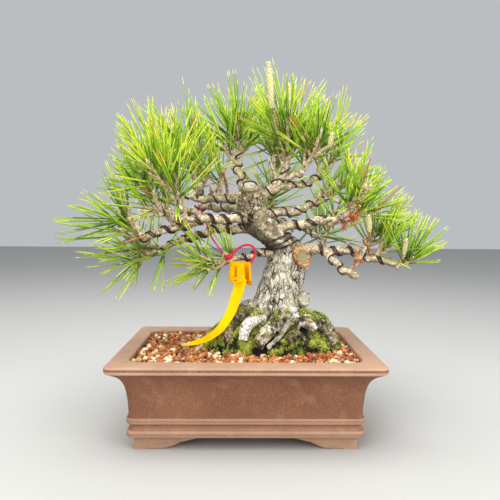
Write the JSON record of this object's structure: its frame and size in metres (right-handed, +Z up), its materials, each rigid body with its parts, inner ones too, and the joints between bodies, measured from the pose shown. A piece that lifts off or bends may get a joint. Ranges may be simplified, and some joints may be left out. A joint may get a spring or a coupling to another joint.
{
  "type": "potted bonsai pine tree",
  "caption": "Small trained black pine with a leaning trunk, wired boughs and tufts of long needles, in a shallow rectangular clay pot with moss, grit and a blank plant label.",
  "frame": {"origin": "on the ground under the middle of the pot, which is also the middle of the crown's spread", "axes": "+X to the right of the front view, along the pot's long side; the front with the label faces -Y; +Z up"},
  "size_m": [0.41, 0.314, 0.377],
  "materials": {
    "clay": "matte",
    "grit": "matte",
    "moss": "matte",
    "bark": "matte",
    "cut_wood": "matte",
    "bough_bark": "matte",
    "needle": "satin",
    "wire": "satin",
    "label": "satin",
    "tie": "satin"
  },
  "bodies": {
    "root": {"pot": "clay", "soil": "grit", "moss_front_left": "moss", "moss_front_middle": "moss", "moss_front_right": "moss", "moss_back": "moss", "trunk": "bark", "cut_root": "cut_wood", "bough_left_long": "bough_bark", "bough_left_low": "bough_bark", "bough_left_upper": "bough_bark", "bough_left_outer": "bough_bark", "bough_left_rise": "bough_bark", "bough_left_front": "bough_bark", "bough_apex": "bough_bark", "bough_apex_left": "bough_bark", "bough_apex_twig": "bough_bark", "bough_apex_right": "bough_bark", "bough_right_upper": "bough_bark", "bough_right_main": "bough_bark", "bough_right_low": "bough_bark", "bough_right_rise": "bough_bark", "bough_right_hook": "bough_bark", "bough_back_right": "bough_bark", "bough_back_middle": "bough_bark", "bough_back_left": "bough_bark", "bough_back_top": "bough_bark", "bough_front_right": "bough_bark", "bough_tag": "bough_bark", "needles_left_far": "needle", "needles_left_low": "needle", "needles_left_middle": "needle", "needles_left_outer": "needle", "needles_left_upper": "needle", "needles_left_front": "needle", "needles_tag": "needle", "needles_apex_left": "needle", "needles_apex": "needle", "needles_apex_right": "needle", "needles_right_upper": "needle", "needles_right_top": "needle", "needles_right_middle": "needle", "needles_right_low": "needle", "needles_right_far": "needle", "needles_back_right": "needle", "needles_back_middle": "needle", "needles_back_left": "needle", "needles_back_top": "needle", "needles_front_right": "needle", "wire_left_long_inner": "wire", "wire_left_long_outer": "wire", "wire_left_low": "wire", "wire_right_main": "wire", "wire_right_upper": "wire", "wire_right_low_inner": "wire", "wire_right_low_outer": "wire", "wire_trunk": "wire", "label": "label", "label_tie": "tie"}
  },
  "joints": []
}
